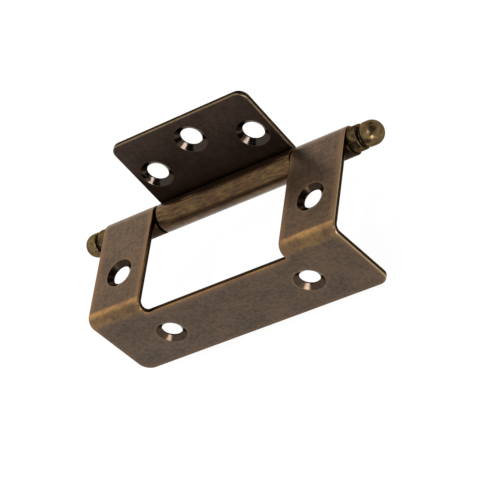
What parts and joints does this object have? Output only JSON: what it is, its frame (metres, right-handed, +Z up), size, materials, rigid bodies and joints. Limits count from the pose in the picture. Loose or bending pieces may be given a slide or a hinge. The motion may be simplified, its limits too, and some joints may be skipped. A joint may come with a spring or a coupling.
{
  "type": "cranked flush cabinet hinge",
  "caption": "Cranked flush cabinet hinge with ball tips: the notched outer leaf wraps a board's edge, the flat inner leaf swings on the pin and folds into the notch",
  "frame": {"origin": "midway between the two flange screw holes, on the flange's seat face", "axes": "+X along the pin, +Y out of the flange's seat face into the board, +Z up across the board's edge towards the arms"},
  "size_m": [0.0776, 0.0301, 0.035],
  "materials": {
    "outer_leaf": "antique brass plating on pressed sheet steel, relieved to brighter brass on the folds and edges",
    "inner_leaf": "antique brass plating on pressed sheet steel, darker in the rolled knuckle",
    "hinge_pin": "antique brass plating on a drawn steel pin",
    "left_tip": "antique brass plating on a turned tip",
    "right_tip": "antique brass plating on a turned tip"
  },
  "bodies": {
    "outer": {"outer_leaf": "outer_leaf", "hinge_pin": "hinge_pin", "left_tip": "left_tip", "right_tip": "right_tip"},
    "inner": {"inner_leaf": "inner_leaf"}
  },
  "joints": [
    {"name": "pin_hinge", "type": "hinge", "parent": "outer", "child": "inner", "pos_m": [0, 0.0231, 0.00765], "axis": [1, 0, 0], "range_deg": [-171.8, 98.2]}
  ]
}
